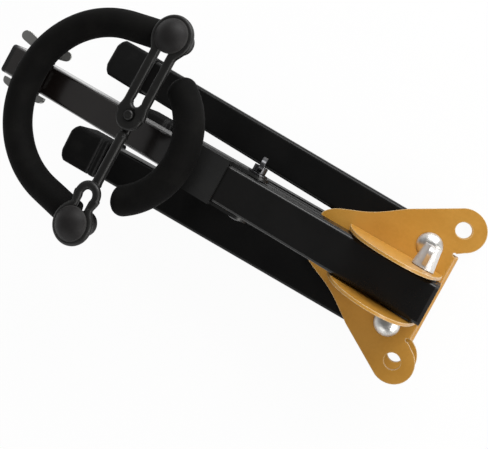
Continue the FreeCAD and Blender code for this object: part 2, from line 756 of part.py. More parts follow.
def make_strap_link():
    """Slotted rubber link from the left ball to the eye."""
    ball_y = ball_centre().y
    ring = pin(V(strap_x, ball_y, strap_z), V(0, 0, 1), ring_radius, strap_thick)
    body = link(strap_spot(ball_y - ring_radius), link_half_width, strap_spot(eye_y), eye_radius, strap_z,
                strap_thick)
    slot = link(strap_spot(slot_low_y), slot_radius, strap_spot(ball_y), slot_radius,
                strap_z - over, strap_thick + 2 * over)
    hole = pin(V(strap_x, ball_y, strap_z - over), V(0, 0, 1), ring_hole, strap_thick + 2 * over)
    eye = pin(V(strap_x, eye_y, strap_z - over), V(0, 0, 1), eye_hole, strap_thick + 2 * over)
    return ring.fuse(body).cut([slot, hole, eye])


def make_strap_rod():
    """Rubber rod with a button through the eye, and a ring and loop in one round the right ball."""
    ball_y = -ball_centre().y
    low = strap_z - strap_rod_low
    rod_end = strap_spot(loop_y + loop_radius - strap_rod_radius)
    rod = link(strap_spot(eye_y), strap_rod_radius, rod_end, strap_rod_radius, low, strap_rod_thick)
    shelf = block(strap_x - eye_radius, strap_x + eye_radius, eye_y - eye_radius - gap,
                  eye_y + 2 * eye_radius, strap_z - gap, strap_z + strap_thick)
    disc = pin(V(strap_x, eye_y, low), V(0, 0, 1), button_foot, strap_rod_low - gap)
    stem = pin(V(strap_x, eye_y, low), V(0, 0, 1), button_stem, strap_rod_low + strap_thick + gap)
    button = dome(V(strap_x, eye_y, strap_z + strap_thick + gap), V(0, 0, 1), button_head, button_rise)
    ring = pin(V(strap_x, ball_y, strap_z), V(0, 0, 1), ring_radius, strap_thick)
    loop = link(strap_spot(ball_y), loop_radius, strap_spot(loop_y), loop_radius, strap_z, strap_thick)
    hole = link(strap_spot(ball_y), ring_hole, strap_spot(loop_y), loop_hole, strap_z - over,
                strap_thick + 2 * over)
    return rod.cut(shelf).fuse([disc, stem, button, ring, loop]).cut(hole)


os.makedirs("parts", exist_ok=True)
save("bracket", make_bracket())
save("cheek_channel", make_cheek_channel())
save("rear_leg", make_rear_leg())
save("rear_foot", foot(-rear_leg_reach))
save("rear_leg_rivets", make_rivets())
save("leg_bolts", make_leg_bolts())
save("leg_nuts", make_leg_nuts())
for name, side in (("left", 1), ("right", -1)):
    save(name + "_leg", make_side_leg(side))
    save(name + "_foot", make_side_foot(side))
    save(name + "_leg_bush", make_leg_bush(side))
    save(name + "_leg_washers", make_leg_washers(side))
    save(name + "_ball", make_balls(side))
save("post_bolt", make_post_bolt())
save("post_wing_nut", make_post_wing_nut())
save("outer_tube", make_outer_tube())
save("post_sleeve", make_post_sleeve())
save("post_spacers", make_post_spacers())
save("post_plug", make_post_plug())
save("slide_collar", make_slide_collar())
save("clamp_boss", make_clamp_boss())
save("clamp_screw", make_clamp_screw())
save("saddle_rivet", make_saddle_rivet())
save("inner_tube", make_inner_tube())
save("mast_plug", make_mast_plug())
save("tail_glide", make_tail_glide())
save("mast_sleeve", make_mast_sleeve())
save("yoke_holder", make_holder())
save("upper_rod", make_upper_rod())
save("upper_foam", make_upper_foam())
save("wing_bolt", make_wing_bolt())
save("yoke_wing_nut", make_yoke_wing_nut())
save("saddle", make_saddle())
save("lower_rod", make_lower_rod())
save("lower_foam", make_lower_foam())
save("lower_caps", make_lower_caps())
save("strap_link", make_strap_link())
save("strap_rod", make_strap_rod())
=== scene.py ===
# %% [markdown]
# # A folding saxophone stand, dressed for a photograph
#
# The stand lies folded. Its steel parts were drawn in CAD and come in as a fixed frame, in metres.
# This lesson adds what CAD leaves plain: foam sleeves, the rubber strap and feet, a screw thread and
# the finish of every surface. Each step first says what the real piece is, then builds it.

# %% Load the frame
import math

import bmesh
import bpy
from mathutils import Matrix, Quaternion, Vector
from mathutils.geometry import tessellate_polygon


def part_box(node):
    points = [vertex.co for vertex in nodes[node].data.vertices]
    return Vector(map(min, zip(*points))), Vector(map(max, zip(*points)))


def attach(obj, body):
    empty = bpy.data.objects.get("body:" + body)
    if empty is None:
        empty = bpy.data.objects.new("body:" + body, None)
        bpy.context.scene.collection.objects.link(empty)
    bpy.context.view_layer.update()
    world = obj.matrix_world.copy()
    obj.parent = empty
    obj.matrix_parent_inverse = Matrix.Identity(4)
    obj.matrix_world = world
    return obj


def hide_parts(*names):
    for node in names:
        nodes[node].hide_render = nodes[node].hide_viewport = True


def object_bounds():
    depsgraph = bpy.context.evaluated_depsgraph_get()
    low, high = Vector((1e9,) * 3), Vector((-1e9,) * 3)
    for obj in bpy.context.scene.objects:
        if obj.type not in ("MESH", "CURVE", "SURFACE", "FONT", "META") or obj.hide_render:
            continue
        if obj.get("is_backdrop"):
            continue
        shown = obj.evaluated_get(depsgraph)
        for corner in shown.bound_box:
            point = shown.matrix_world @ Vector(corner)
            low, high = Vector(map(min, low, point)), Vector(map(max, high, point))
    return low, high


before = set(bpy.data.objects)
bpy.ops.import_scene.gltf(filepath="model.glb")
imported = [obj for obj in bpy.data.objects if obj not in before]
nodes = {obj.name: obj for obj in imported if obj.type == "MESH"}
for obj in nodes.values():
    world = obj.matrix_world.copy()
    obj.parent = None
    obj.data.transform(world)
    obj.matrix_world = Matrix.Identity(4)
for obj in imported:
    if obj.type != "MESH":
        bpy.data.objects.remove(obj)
cad_low, cad_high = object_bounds()
mm = 0.001
print("loaded", len(nodes), "pieces, length in mm", round((cad_high.x - cad_low.x) / mm, 1))


def placed(name, data):
    """A new object of the scene that shows this data."""
    thing = bpy.data.objects.new(name, data)
    bpy.context.scene.collection.objects.link(thing)
    return thing


# %% [markdown]
# ## The camera
#
# The picture was taken from above the yokes, a little to the left side, with the stand turned in
# the frame so that its post runs from the upper left to the lower right. A camera's place, turn
# and lens were worked out from the holes, tube ends and bolts, and are written here as they are.
# The small shift only sets where the middle of the lens falls in the frame.

# %% Camera
eye = Vector((0.116961, 0.037139, 0.377941))
eye_turn = Quaternion((0.9561349, 0.029086, 0.1588339, 0.2444012))
lens_data = bpy.data.cameras.new("picture_camera")
lens_data.lens = 50.532
lens_data.sensor_width = 36.0
lens_data.shift_y = -0.2
lens_data.clip_start = 0.01
lens_data.clip_end = 20.0
camera = placed("picture_camera", lens_data)
camera.location = eye
camera.rotation_mode = "QUATERNION"
camera.rotation_quaternion = eye_turn
bpy.context.scene.camera = camera
print("camera height in mm", round(eye.z / mm))

# %% [markdown]
# ## Sums on sockets
#
# A procedural finish is a small sum: noise times a depth, one minus a mask, and so on. Wiring each
# Math node by hand hides that sum. So one small class wraps a socket and lets Python's own signs
# add the nodes. The tree that owns the socket adds them, and its class comes in the next cell.

# %% Socket sums
class Wire:
    """A socket of a shader tree that plain sums can use."""

    def __init__(self, owner, socket):
        self.owner = owner
        self.socket = socket

    def sum_with(self, how, first, second):
        return self.owner.add("ShaderNodeMath", {"operation": how}, {0: first, 1: second})

    def __add__(self, other):
        return self.sum_with("ADD", self, other)

    def __radd__(self, other):
        return self.sum_with("ADD", other, self)

    def __sub__(self, other):
        return self.sum_with("SUBTRACT", self, other)

    def __rsub__(self, other):
        return self.sum_with("SUBTRACT", other, self)

    def __mul__(self, other):
        return self.sum_with("MULTIPLY", self, other)

    def __rmul__(self, other):
        return self.sum_with("MULTIPLY", other, self)


print("a wire can be added, subtracted and multiplied")

# %% [markdown]
# A second class adds any other node by its type to a tree: first its settings, then the values or
# wires of its sockets. It serves materials and the sky alike, so it also holds the two mixtures that
# both need, a soft ramp of a number and a blend of two colours.

# %% Shader trees
class Shading:
    """Adds nodes to a shader tree, of a material or of the sky."""

    def __init__(self, tree):
        self.tree = tree
        self.tree.nodes.clear()

    def put(self, socket, value):
        if isinstance(value, Wire):
            self.tree.links.new(value.socket, socket)
        else:
            socket.default_value = value

    def add(self, kind, settings=None, sockets=None, out=0):
        """Adds a node: its settings first, then the values or wires of its sockets."""
        node = self.tree.nodes.new(kind)
        for key, value in (settings or {}).items():
            setattr(node, key, value)
        for key, value in (sockets or {}).items():
            self.put(node.inputs[key], value)
        return Wire(self, node.outputs[out])

    def ramp(self, value, low, high, first=0.0, last=1.0):
        """First below low, last above high, smooth between."""
        return self.add("ShaderNodeMapRange", {"interpolation_type": "SMOOTHSTEP"},
                        {"Value": value, "From Min": low, "From Max": high, "To Min": first, "To Max": last})

    def tint(self, share, first, second):
        """A colour that goes from first to second as share goes from 0 to 1."""
        mixed = self.add("ShaderNodeMix", {"data_type": "RGBA"}, {0: share}, out=2)
        node = mixed.socket.node
        self.put(node.inputs[6], first)
        self.put(node.inputs[7], second)
        return mixed


def shade(red, green, blue):
    return (red, green, blue, 1.0)


print("a plain shade:", shade(0.5, 0.5, 0.5))

# %% [markdown]
# A finish is one material. It reads Object coordinates, so its patterns keep their real size on every
# piece. Edges need their own treatment: a Bevel node bends the normal near an edge as if it were
# rounded. That normal feeds the bumps, and where it leans from the plain normal there is an edge, so
# the same node also finds where a highlight is painted along the edges of a coat or of rubber.

# %% Finishes
class Finish(Shading):
    """One material: a Principled shader, and the nodes that vary it over the surface."""

    def __init__(self, name):
        self.material = bpy.data.materials.new(name)
        self.material.use_nodes = True
        super().__init__(self.material.node_tree)
        output = self.tree.nodes.new("ShaderNodeOutputMaterial")
        self.shader = self.tree.nodes.new("ShaderNodeBsdfPrincipled")
        self.tree.links.new(self.shader.outputs[0], output.inputs["Surface"])
        self.place = self.add("ShaderNodeTexCoord", out="Object")

    def set(self, **values):
        """Sets the shader's own sockets; an underscore in a name stands for a space."""
        for key, value in values.items():
            self.put(self.shader.inputs[key.replace("_", " ")], value)

    def noise(self, size, detail=3.0, rough=0.55):
        """Soft noise whose blotches are about this many metres wide."""
        return self.add("ShaderNodeTexNoise", {}, {"Vector": self.place, "Scale": 1 / size, "Detail": detail,
                                                   "Roughness": rough})

    def softened(self, radius):
        """The normal, bent near edges as if they were rounded by this radius."""
        return self.add("ShaderNodeBevel", {"samples": 6}, {"Radius": radius})

    def relief(self, height, depth, edge=None):
        """Bumps of this depth in metres; edge is the radius that sharp edges are rounded by."""
        sockets = {"Height": height, "Distance": depth, "Strength": 1.0}
        if edge:
            sockets["Normal"] = self.softened(edge)
        self.set(Normal=self.add("ShaderNodeBump", {}, sockets))

    # A mask for painted highlights: it finds the edges, where a lighter colour is painted as if they caught
    # the light.
    def edge_highlight_mask(self, radius, low, high):
        """One along edges, nothing on flat faces: how far the softened normal leans from the plain."""
        bent = self.softened(radius)
        plain = self.add("ShaderNodeNewGeometry", out="Normal")
        agree = self.add("ShaderNodeVectorMath", {"operation": "DOT_PRODUCT"}, {0: bent, 1: plain},
                         out="Value")
        return self.ramp(1 - agree, low, high)


print("a finish offers", [name for name in vars(Finish) if not name.startswith("_")])

# %% [markdown]
# ## Powder-coated steel
#
# The bracket and its cheeks wear an ochre powder coat: satin, with a faint orange-peel skin, and a pale
# highlight painted along the cut edges. The legs and tubes are black and smoother. The inner tube wears
# the glossiest coat, so what shows on it is mostly its surroundings: it goes black beside the foam
# and grey further on. Each coat is a plain colour, varied a little by two scales of noise, because a
# sprayed coat is never one flat value. The tubes and legs have round corners already, so only the
# gold sheet has its edges softened.

# %% Powder coats
def powder_coat(name, thin, full, rough, peel=0.9 * mm, depth=0.012 * mm, edge=0.35 * mm, sheen=0.5,
                coat=0.0, wear_and_painted_highlight=None, uneven=0.12):
    """A sprayed coat: colour from thin to full, an orange-peel skin and, if wanted, a highlight painted along
    the edges.
    """
    finish = Finish(name)
    cloud = finish.noise(22 * mm, 2.0)
    fleck = finish.noise(1.6 * mm, 4.0, 0.6)
    share = finish.ramp(cloud * 0.7 + fleck * 0.3, 0.35, 0.65)
    colour = finish.tint(share, thin, full)
    # A paler colour along the edges, where rounded edges would catch the light: a painted highlight.
    if wear_and_painted_highlight:
        colour = finish.tint(finish.edge_highlight_mask(0.9 * mm, 0.03, 0.22) * (0.35 + fleck * 0.8), colour, wear_and_painted_highlight)
    finish.set(Base_Color=colour)
    finish.set(Roughness=rough + (fleck - 0.5) * uneven + (cloud - 0.5) * 0.10)
    finish.set(IOR=1.5, Specular_IOR_Level=sheen, Coat_Roughness=0.18, Coat_Weight=coat)
    finish.relief(finish.noise(peel, 1.0, 0.4), depth, edge)
    return finish


# The pale gold along its edges is a painted highlight.
gold_coat = powder_coat("gold_coat", shade(0.46, 0.222, 0.030), shade(0.53, 0.264, 0.042), rough=0.36,
                        coat=0.10, wear_and_painted_highlight=shade(0.88, 0.72, 0.44))
smooth = {"peel": 1.3 * mm, "edge": None, "uneven": 0.03}
leg_coat = powder_coat("leg_coat", shade(0.0030, 0.0030, 0.0030), shade(0.0044, 0.0043, 0.0042),
                       rough=0.34, depth=0.002 * mm, sheen=0.2, **smooth)
tube_coat = powder_coat("tube_coat", shade(0.0034, 0.0033, 0.0032), shade(0.0050, 0.0048, 0.0047),
                        rough=0.28, depth=0.0015 * mm, sheen=0.36, **smooth)
inner_coat = powder_coat("inner_coat", shade(0.0058, 0.0040, 0.0034), shade(0.0086, 0.0064, 0.0056),
                         rough=0.24, depth=0.0015 * mm, sheen=1.0, coat=1.0, **smooth)
saddle_coat = powder_coat("saddle_coat", shade(0.0085, 0.0085, 0.0085), shade(0.0120, 0.0120, 0.0118),
                          rough=0.34, depth=0.0015 * mm, sheen=0.5, **smooth)
coats = [gold_coat, leg_coat, tube_coat, inner_coat, saddle_coat]
print("coats:", [finish.material.name for finish in coats])

# %% [markdown]
# ## Bright and zinc-plated metal
#
# The leg bolts have chromed dome heads, the wing bolt is zinc plated and the clamp screw blackened.
# Plating is a blurred mirror with swirls from tumbling, so its roughness and a very shallow relief
# vary. The post's wing nut is a cast one: duller, and a little short of full metal, because a rough
# casting scatters light as well as mirroring it.

# %% Plated metal
def plating(name, colour, rough, swirl, depth, edge=0.3 * mm, detail=5.0, metal=1.0):
    """Metal whose roughness and skin vary with a tumbled swirl of this size."""
    finish = Finish(name)
    swirls = finish.noise(swirl, detail, 0.6)
    smear = finish.noise(9 * mm, 2.0)
    finish.set(Base_Color=finish.tint(smear, colour, shade(*(0.86 * part for part in colour[:3]))))
    finish.set(Metallic=metal)
    finish.set(Roughness=rough + (swirls - 0.5) * 0.14 + finish.ramp(smear, 0.5, 0.75) * 0.06)
    finish.relief(swirls, depth, edge)
    return finish


chrome = plating("bright_chrome", shade(0.78, 0.77, 0.74), rough=0.30, swirl=3.2 * mm, depth=0.16 * mm,
                 detail=2.0)
cast_nickel = plating("cast_nickel", shade(0.72, 0.71, 0.70), rough=0.42, swirl=2.2 * mm, depth=0.18 * mm,
                      detail=3.0, metal=0.72)
zinc = plating("zinc_plate", shade(0.60, 0.60, 0.58), rough=0.32, swirl=0.8 * mm, depth=0.02 * mm)
black_screw = plating("blackened_steel", shade(0.10, 0.10, 0.105), rough=0.34, swirl=0.9 * mm,
                      depth=0.02 * mm)
print("metals:", [finish.material.name for finish in (chrome, cast_nickel, zinc, black_screw)])

# %% [markdown]
# ## Rubber, foam and moulded plastic
#
# Foam has hardly any gloss, and its skin is pricked with pores. The strap is smoother, with a dull
# sheen and a trace of mould dust. The feet are matt, with a grey highlight painted along their edges.
# The round-headed knobs are harder and take a wide, soft highlight, and have a faint highlight painted along
# their edges too.

# %% Soft finishes
def foam_skin():
    """Closed-cell foam: pores of two sizes, hardly any gloss, a faint bloom."""
    finish = Finish("foam_skin")
    pores = finish.add("ShaderNodeTexVoronoi", {"feature": "SMOOTH_F1"},
                       {"Vector": finish.place, "Scale": 1 / (0.55 * mm), "Smoothness": 0.4})
    cells = finish.noise(0.35 * mm, 2.0)
    # Random blotches of a lighter tone on the foam: wear, not light.
    wear_and_painted_highlight = finish.ramp(finish.noise(14 * mm, 3.0), 0.42, 0.7)
    finish.set(Base_Color=finish.tint(wear_and_painted_highlight, shade(0.0019, 0.0018, 0.0017), shade(0.0036, 0.0034, 0.0031)))
    finish.set(Roughness=0.78 + (cells - 0.5) * 0.2)
    finish.set(Specular_IOR_Level=0.09, Sheen_Weight=0.006, Sheen_Roughness=0.5)
    finish.relief(pores * 0.6 + cells * 0.4, 0.09 * mm)
    return finish


def rubber(name, colour, dusty, rough, grain, depth, shine=0.4, painted_edge_highlight=None):
    """Moulded rubber or plastic with a fine grain, a little dust and, if wanted, a highlight painted along
    its edges.
    """
    finish = Finish(name)
    skin = finish.noise(grain, 3.0, 0.6)
    dust = finish.ramp(finish.noise(11 * mm, 4.0, 0.6), 0.48, 0.72)
    tone = finish.tint(dust, colour, dusty)
    # A lighter grey along the edges, where rounded edges would catch the light: a painted highlight.
    if painted_edge_highlight:
        tone = finish.tint(finish.edge_highlight_mask(1.6 * mm, 0.006, 0.04) * (0.3 + skin * 0.9), tone, painted_edge_highlight)
    finish.set(Base_Color=tone)
    finish.set(Roughness=rough + (skin - 0.5) * 0.12 + dust * 0.06)
    finish.set(Specular_IOR_Level=shine)
    finish.relief(skin, depth, 0.3 * mm)
    return finish


foam = foam_skin()
# The grey along the feet's edges is a painted highlight.
foot_rubber = rubber("foot_rubber", shade(0.0108, 0.0108, 0.0108), shade(0.0150, 0.0148, 0.0145),
                     rough=0.62, grain=0.5 * mm, depth=0.015 * mm, shine=0.015,
                     painted_edge_highlight=shade(0.055, 0.055, 0.055))
strap_rubber = rubber("strap_rubber", shade(0.0052, 0.0050, 0.0047), shade(0.0080, 0.0078, 0.0072),
                      rough=0.42, grain=0.4 * mm, depth=0.012 * mm)
# The dark grey along the knobs' edges is a painted highlight.
knob_plastic = rubber("knob_plastic", shade(0.0092, 0.0084, 0.0084), shade(0.0130, 0.0120, 0.0120),
                      rough=0.52, grain=0.45 * mm, depth=0.015 * mm, shine=0.22,
                      painted_edge_highlight=shade(0.030, 0.029, 0.028))
black_nylon = rubber("black_nylon", shade(0.0090, 0.0088, 0.0088), shade(0.0125, 0.0122, 0.0122),
                     rough=0.5, grain=0.4 * mm, depth=0.012 * mm)
soft = [foam, foot_rubber, strap_rubber, knob_plastic, black_nylon]
print("soft finishes:", [finish.material.name for finish in soft])

# %% [markdown]
# ## Dressing the CAD pieces
#
# Every steel piece keeps its CAD mesh, because its shape is already right, and only gets a finish.
# A table of piece and finish keeps that in one place, and the print shows that none was missed. The
# foam, the strap and the feet are in it too, though finer shapes take their place further on.

# %% Dress the frame
dress = {
    gold_coat: ["bracket", "cheek_channel"],
    leg_coat: ["rear_leg", "left_leg", "right_leg"],
    tube_coat: ["outer_tube", "upper_rod", "lower_rod"],
    saddle_coat: ["saddle", "yoke_holder"],
    inner_coat: ["inner_tube"],
    chrome: ["leg_bolts", "post_bolt"],
    cast_nickel: ["post_wing_nut"],
    zinc: ["wing_bolt", "yoke_wing_nut", "rear_leg_rivets", "leg_nuts", "left_leg_washers",
           "right_leg_washers", "post_sleeve", "mast_sleeve"],
    black_screw: ["clamp_screw", "clamp_boss", "saddle_rivet"],
    foot_rubber: ["rear_foot", "left_foot", "right_foot", "lower_caps"],
    strap_rubber: ["strap_link", "strap_rod"],
    knob_plastic: ["left_ball", "right_ball"],
    black_nylon: ["left_leg_bush", "right_leg_bush", "post_spacers", "post_plug", "slide_collar",
                  "mast_plug", "tail_glide"],
    foam: ["upper_foam", "lower_foam"],
}
for finish, names in dress.items():
    for name in names:
        nodes[name].data.materials.clear()
        nodes[name].data.materials.append(finish.material)
undressed = set(nodes) - {name for names in dress.values() for name in names}
print("dressed", len(nodes) - len(undressed), "of", len(nodes), "pieces; left over:", sorted(undressed))

# %% [markdown]
# ## Foam sleeves
#
# Each yoke is a bent steel rod inside a foam sleeve. A sleeve follows one rule along the rod: the
# same radius all the way, drawn in where it is cut, with faint lumps where the foam was stretched
# round the bend. A rule along a path is what Geometry Nodes do well, so one tree serves both: it
# spaces points evenly, sets the radius by the distance from the nearer end, and sweeps a circle.
# First comes a class that writes such a tree, because the screw thread needs one too.

# %% Geometry rules
def tree_with(name, numbers):
    """A geometry tree with a shape input, numbers with their defaults, and a material input."""
    tree = bpy.data.node_groups.new(name, "GeometryNodeTree")
    tree.interface.new_socket("Shape", in_out="INPUT", socket_type="NodeSocketGeometry")
    for label, value in numbers.items():
        socket = tree.interface.new_socket(label, in_out="INPUT", socket_type="NodeSocketFloat")
        socket.default_value = value
    tree.interface.new_socket("Finish", in_out="INPUT", socket_type="NodeSocketMaterial")
    tree.interface.new_socket("Shape", in_out="OUTPUT", socket_type="NodeSocketGeometry")
    return tree


class Rule:
    """Adds nodes to a geometry tree, as Finish does for a material."""

    def __init__(self, name, numbers):
        self.tree = tree_with(name, numbers)
        self.start = self.tree.nodes.new("NodeGroupInput")
        self.end = self.tree.nodes.new("NodeGroupOutput")

    def given(self, label):
        return self.start.outputs[label]

    def add(self, kind, settings=None, sockets=None, out=0):
        node = self.tree.nodes.new(kind)
        for key, value in (settings or {}).items():
            setattr(node, key, value)
        for key, value in (sockets or {}).items():
            if isinstance(value, bpy.types.NodeSocket):
                self.tree.links.new(value, node.inputs[key])
            else:
                node.inputs[key].default_value = value
        return node.outputs[out]

    def sum(self, how, first, second=0.0):
        return self.add("ShaderNodeMath", {"operation": how}, {0: first, 1: second})

    def finish_with(self, shape):
        """Every tree ends alike: instances made real, then the finish set."""
        real = self.add("GeometryNodeRealizeInstances", {}, {0: shape})
        dressed = self.add("GeometryNodeSetMaterial", {}, {"Geometry": real,
                                                          "Material": self.given("Finish")})
        self.tree.links.new(dressed, self.end.inputs[0])


print("a rule can take nodes, sums and an end")

# %% [markdown]
# In the sleeve's rule, a quarter circle draws the radius in over the last stretch at each end, down to
# a share of the full radius. Soft noise then swells or thins it by a percent or two.

# %% Sleeve rule
def sleeve_rule():
    """Sweeps a circle along the path, drawn in at both ends and a little lumpy."""
    rule = Rule("sleeve_rule", {"Radius": 8 * mm, "End Round": 2 * mm, "End Share": 0.7, "Lumps": 0.02})
    spaced = rule.add("GeometryNodeResampleCurve", {"mode": "LENGTH"},
                      {"Curve": rule.given("Shape"), "Length": 0.8 * mm})
    along = rule.add("GeometryNodeSplineParameter", out="Length")
    whole = rule.add("GeometryNodeSplineLength", out="Length")
    to_end = rule.sum("MINIMUM", along, rule.sum("SUBTRACT", whole, along))
    near = rule.sum("SUBTRACT", 1.0, rule.sum("DIVIDE", to_end, rule.given("End Round")))
    near = rule.sum("MAXIMUM", near, 0.0)
    arc = rule.sum("SQRT", rule.sum("SUBTRACT", 1.0, rule.sum("MULTIPLY", near, near)))
    share = rule.given("End Share")
    drawn = rule.sum("ADD", share, rule.sum("MULTIPLY", rule.sum("SUBTRACT", 1.0, share), arc))
    place = rule.add("GeometryNodeInputPosition")
    lump = rule.add("ShaderNodeTexNoise", {}, {"Vector": place, "Scale": 1 / (26 * mm), "Detail": 1.0})
    lump = rule.sum("MULTIPLY", rule.sum("SUBTRACT", lump, 0.5), rule.given("Lumps"))
    swell = rule.sum("MULTIPLY", drawn, rule.sum("ADD", 1.0, lump))
    radius = rule.sum("MULTIPLY", rule.given("Radius"), swell)
    ring = rule.add("GeometryNodeCurvePrimitiveCircle", {}, {"Resolution": 48, "Radius": 1.0})
    swept = rule.add("GeometryNodeCurveToMesh", {}, {"Curve": spaced, "Profile Curve": ring, "Scale": radius,
                                                    "Fill Caps": True})
    rule.finish_with(rule.add("GeometryNodeSetShadeSmooth", {}, {"Geometry": swept}))
    return rule.tree


sleeve_tree = sleeve_rule()
print("sleeve rule has", len(sleeve_tree.nodes), "nodes")

# %% [markdown]
# The rule needs a path, a place for its sizes, and a way to turn the result into a plain mesh. An
# input of a Geometry Nodes modifier is found by its socket's identifier, since two sockets may
# share a name. The plain mesh then stands alone, and the modifier goes with the object it was on.

# %% Path and plain mesh helpers
def line_object(name, points):
    """A curve through these points, at the origin."""
    data = bpy.data.curves.new(name + "_path", "CURVE")
    data.dimensions = "3D"
    spline = data.splines.new("POLY")
    spline.points.add(len(points) - 1)
    for slot, point in zip(spline.points, points):
        slot.co = (*point, 1.0)
    return placed(name + "_path", data)


def plain_mesh(name, source):
    """What the source object looks like after its modifiers, as a plain mesh at the origin."""
    bpy.context.view_layer.update()
    seen = source.evaluated_get(bpy.context.evaluated_depsgraph_get())
    mesh = bpy.data.meshes.new_from_object(seen)
    mesh.name = name
    thing = placed(name, mesh)
    source.modifiers.clear()
    bpy.data.objects.remove(source)
    return thing


def grow(name, source, tree, finish, **sizes):
    """Runs a rule on an object with the given sizes, and returns the plain mesh."""
    modifier = source.modifiers.new(tree.name, "NODES")
    modifier.node_group = tree
    wanted = {label.replace("_", " "): value for label, value in sizes.items()}
    wanted["Finish"] = finish.material
    for item in tree.interface.items_tree:
        if item.item_type == "SOCKET" and item.in_out == "INPUT" and item.name in wanted:
            modifier[item.identifier] = wanted.pop(item.name)
    assert not wanted, wanted
    thing = plain_mesh(name, source)
    print(name, "has", len(thing.data.polygons), "faces")
    return thing


def arc_points(centre, radius, start_deg, stop_deg, level, steps):
    """Points along an arc that lies flat at a height."""
    turns = [math.radians(start_deg + (stop_deg - start_deg) * i / steps) for i in range(steps + 1)]
    return [Vector((centre[0] + radius * math.cos(turn), centre[1] + radius * math.sin(turn), level))
            for turn in turns]


print("a quarter circle in six steps has", len(arc_points((0.0, 0.0), 1.0, 0, 90, 0.0, 6)), "points")

# %% [markdown]
# ### The upper yoke's sleeve
#
# The upper yoke is an open horseshoe: a bow of a little less than half a circle, whose arms flare
# outwards to the knobs. Its path repeats the rod's own sizes, so the sleeve lies on the rod.

# %% Upper sleeve
shift = 123.05 * mm
upper_level = 69.2 * mm
bow_radius = 48 * mm
bow_centre = (shift - 181.5 * mm, 0.0)
flare_deg = 8.6
knob_centre = Vector((shift - 160.5 * mm, 51.72 * mm, upper_level))
knob_grip = 6.8 * mm
upper_foam_radius = 7.6 * mm
foam_lumps = 0.04
arm = Vector((math.cos(math.radians(flare_deg)), math.sin(math.radians(flare_deg)), 0.0))
left_tip = knob_centre - arm * knob_grip
right_tip = Vector((left_tip.x, -left_tip.y, left_tip.z))
bow = arc_points(bow_centre, bow_radius, 90 + flare_deg, 270 - flare_deg, upper_level, 60)
upper_path = line_object("upper_sleeve", [left_tip, *bow, right_tip])
upper_sleeve = grow("upper_sleeve", upper_path, sleeve_tree, foam,
                    Radius=upper_foam_radius, End_Round=1.6 * mm, End_Share=0.82, Lumps=foam_lumps)
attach(upper_sleeve, "upper_yoke")
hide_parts("upper_foam")

# %% [markdown]
# ### The lower yoke's sleeve
#
# The lower yoke is a shallow bow. The foam is pulled over the ends of its rod and closes there in
# round noses, so the same rule runs on, with a longer, fuller rounding, over the end caps.

# %% Lower sleeve
rest_level = 70.2 * mm
rest_radius = 37 * mm
rest_centre = (shift - 167 * mm, 0.0)
rest_sweep_deg = 60.0
cap_length = 3.0 * mm
nose_deg = math.degrees(cap_length / rest_radius)
lower_foam_radius = 7.8 * mm
rest_bow = arc_points(rest_centre, rest_radius, rest_sweep_deg + nose_deg, -rest_sweep_deg - nose_deg,
                      rest_level, 60)
rest_path = line_object("lower_sleeve", rest_bow)
lower_sleeve = grow("lower_sleeve", rest_path, sleeve_tree, foam,
                    Radius=lower_foam_radius, End_Round=5.5 * mm, End_Share=0.12, Lumps=foam_lumps)
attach(lower_sleeve, "lower_yoke")
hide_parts("lower_foam", "lower_caps")

# %% [markdown]
# ## The strap
#
# A rubber strap closes the upper yoke. One half is a flat slotted link that hooks over the left
# knob. The other is a round-edged rod with a pin that plugs into the link's eye, and a keyhole
# loop that hooks over the right knob. Moulded rubber has no sharp edge. A bevelled curve would
# round it, but that leaves no say in the section, so each half is drawn as a flat outline with its
# holes, and rings of that outline climb a quarter ellipse up to the flat top. A wide ellipse makes
# the cord-like loop, a narrow one the flatter web. The outlines come first: a circle, and a keyhole,
# which is a ring with a smaller loop beyond it.

# %% Outlines
def even_points(loop, spacing):
    """The same closed loop with points a constant distance apart."""
    points = [Vector(point) for point in loop]
    points.append(points[0])
    reach = [0.0]
    for a, b in zip(points, points[1:]):
        reach.append(reach[-1] + (b - a).length)
    count = max(12, round(reach[-1] / spacing))
    even, at = [], 0
    for i in range(count):
        goal = reach[-1] * i / count
        while reach[at + 1] < goal:
            at += 1
        share = (goal - reach[at]) / max(1e-12, reach[at + 1] - reach[at])
        even.append(points[at].lerp(points[at + 1], share))
    return even


def keyhole_outline(ball, ring_radius, neck, neck_radius, waist, steps=160):
    """A ring with a smaller loop beyond it, joined by a soft waist, along the line of the two.

    At each step the half width is a blend of both circles and the waist. The higher the blend's
    power, the tighter the corners where they meet.
    """
    power = 6
    ball, neck = Vector(ball), Vector(neck)
    run = neck - ball
    length = run.length
    ahead = run.normalized()
    aside = Vector((-ahead.y, ahead.x))
    half = []
    low, high = -ring_radius, length + neck_radius
    for i in range(steps + 1):
        s = low + (high - low) * (1 - math.cos(math.pi * i / steps)) / 2
        big = math.sqrt(max(0.0, ring_radius ** 2 - s ** 2))
        small = math.sqrt(max(0.0, neck_radius ** 2 - (s - length) ** 2))
        bridge = waist if 0 <= s <= length else 0.0
        half.append((s, (big ** power + small ** power + bridge ** power) ** (1 / power)))
    points = [ball + ahead * s + aside * w for s, w in half]
    points += [ball + ahead * s - aside * w for s, w in reversed(half[1:-1])]
    return [(point.x, point.y) for point in points]


def round_outline(centre, radius, steps=48):
    return [(centre[0] + radius * math.cos(2 * math.pi * i / steps),
             centre[1] + radius * math.sin(2 * math.pi * i / steps)) for i in range(steps)]


print("a circle 10 mm across has", len(even_points(round_outline((0.0, 0.0), 5 * mm), 1 * mm)), "even points")

# %% [markdown]
# To round the rim, each ring steps inwards, so every point needs the direction that points into the
# material. That is the run of the loop turned by a quarter, to one side on the outline and to the
# other on a hole. Rings that follow each other are then skinned with four-sided faces, and the flat
# top and bottom are filled between their loops.

